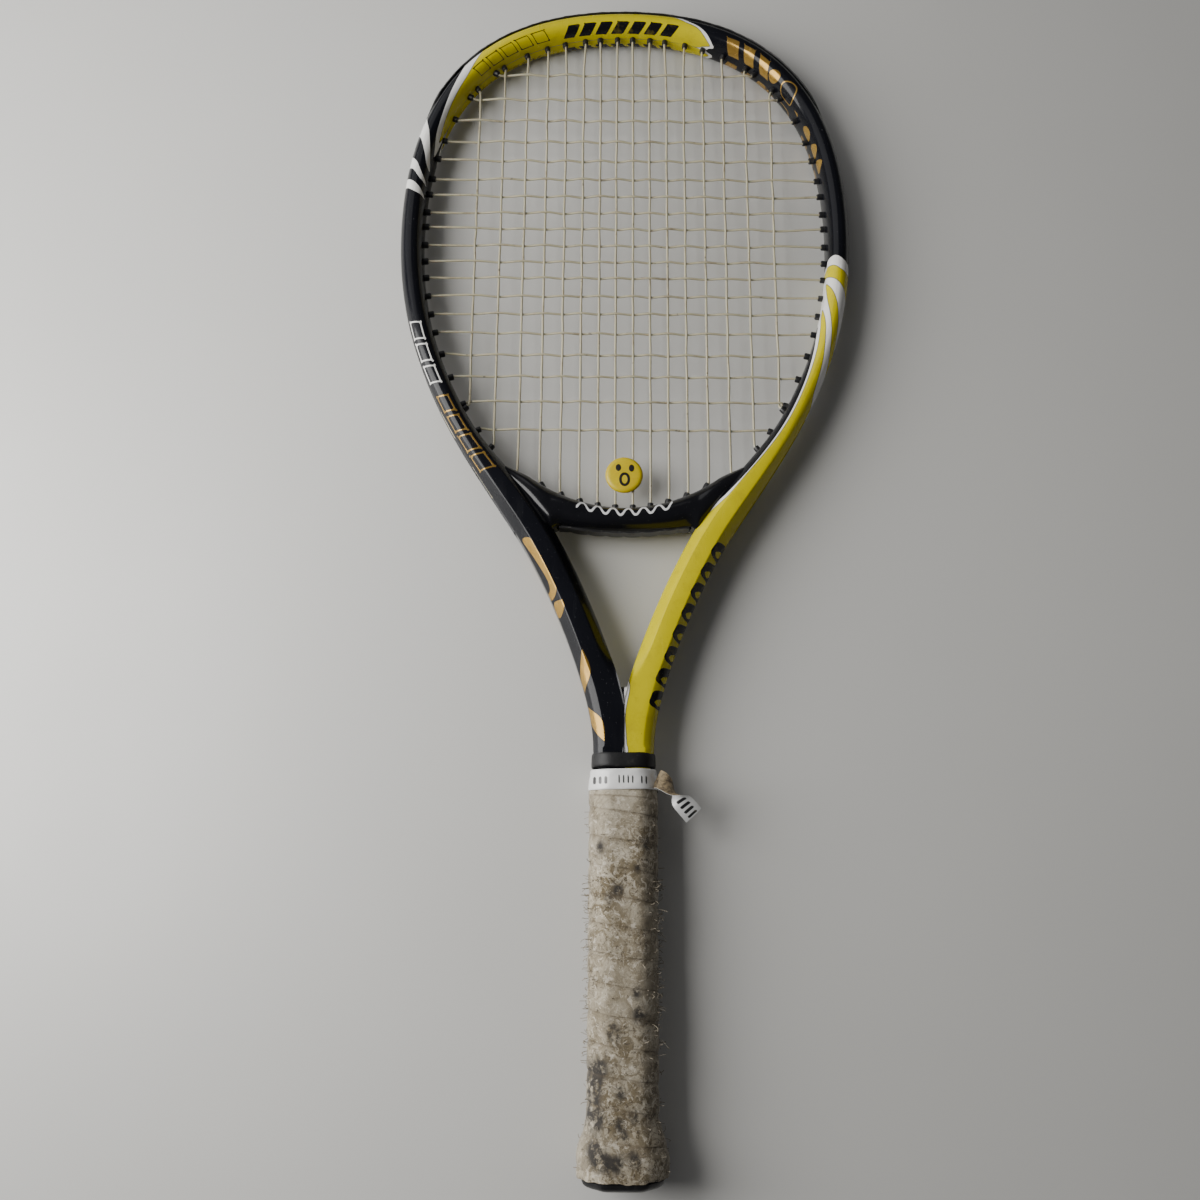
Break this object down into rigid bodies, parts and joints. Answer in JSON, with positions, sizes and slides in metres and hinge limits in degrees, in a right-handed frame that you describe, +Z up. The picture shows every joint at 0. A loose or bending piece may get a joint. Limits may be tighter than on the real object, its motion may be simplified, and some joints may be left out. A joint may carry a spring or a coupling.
{
  "type": "tennis racket",
  "caption": "Adult tennis racket with a hollow bent-tube frame, throat bridge, woven string bed, dampener, wrapped octagonal handle and flared butt cap.",
  "frame": {"origin": "under the middle of the bounding box, on the surface that the butt flare stands on", "axes": "+Y from the butt to the tip of the head, +X to the right, +Z up, square to the string bed"},
  "size_m": [0.2708, 0.6858, 0.0425],
  "materials": {
    "painted_frame": "glossy clear-coated paint, yellow and black, chipped at the edges",
    "black_lacquer": "glossy black lacquer",
    "grommet_nylon": "moulded nylon, scuffed",
    "string": "natural-coloured multifilament string, slightly dirty",
    "yellow_rubber": "moulded yellow rubber with black painted marks",
    "handle_foam": "rigid polyurethane foam",
    "black_plastic": "moulded black plastic",
    "steel": "bright wire",
    "base_grip": "perforated synthetic leather",
    "overgrip": "thin felted overgrip, worn and soiled",
    "finishing_tape": "white vinyl tape",
    "collar_rubber": "black stretched rubber"
  },
  "bodies": {
    "racket": {"frame_tube": "painted_frame", "throat_bridge": "black_lacquer", "bumper_guard": "grommet_nylon", "left_grommet_strip": "grommet_nylon", "right_grommet_strip": "grommet_nylon", "throat_grommet_strip": "grommet_nylon", "main_string": "string", "cross_string": "string", "upper_handle_pallet": "handle_foam", "lower_handle_pallet": "handle_foam", "butt_cap": "black_plastic", "left_butt_staple": "steel", "right_butt_staple": "steel", "grip_tack": "steel", "base_grip": "base_grip", "overgrip": "overgrip", "base_grip_tape": "finishing_tape", "overgrip_tape": "finishing_tape", "tape_tail": "finishing_tape"},
    "trap_door": {"trap_door": "black_plastic"},
    "dampener": {"vibration_dampener": "yellow_rubber"},
    "collar": {"rubber_collar": "collar_rubber"}
  },
  "joints": [
    {"name": "trap_door_pull", "type": "slide", "parent": "racket", "child": "trap_door", "axis": [0, -1, 0], "range_m": [0, 0.012]},
    {"name": "dampener_slide", "type": "slide", "parent": "racket", "child": "dampener", "axis": [0, 1, 0], "range_m": [-0.007, 0.016]},
    {"name": "collar_slide", "type": "slide", "parent": "racket", "child": "collar", "axis": [0, 1, 0], "range_m": [0, 0.004]}
  ]
}
